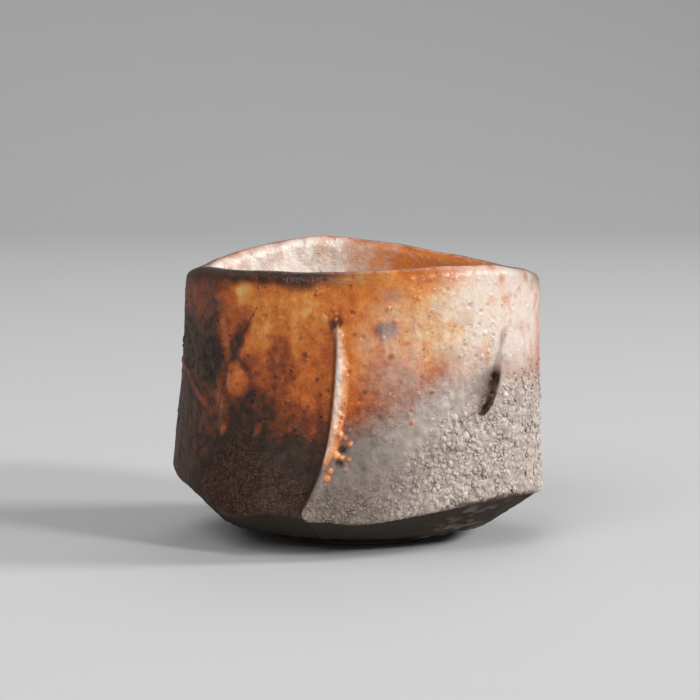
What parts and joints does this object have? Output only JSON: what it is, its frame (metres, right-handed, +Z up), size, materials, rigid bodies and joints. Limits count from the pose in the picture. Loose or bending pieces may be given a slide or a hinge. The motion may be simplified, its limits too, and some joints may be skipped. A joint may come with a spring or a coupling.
{
  "type": "guinomi sake cup",
  "caption": "Small hand-carved stoneware sake cup with faceted walls, an uneven rolled lip and a low foot, glazed amber and brown over bare clay.",
  "frame": {"origin": "middle of the foot, on the table", "axes": "+Z up; -Y is the pictured front, with the carved ridge; +X is to the right as seen from the front"},
  "size_m": [0.0653, 0.0623, 0.0509],
  "materials": {
    "bare_clay": "matte",
    "pale_clay": "matte",
    "amber_glaze": "gloss",
    "pale_glaze": "gloss",
    "brown_glaze": "satin"
  },
  "bodies": {
    "root": {"clay_body": "bare_clay", "foot_ring": "pale_clay", "wall_glaze": "amber_glaze", "well_glaze": "pale_glaze", "lip_glaze": "brown_glaze"}
  },
  "joints": []
}
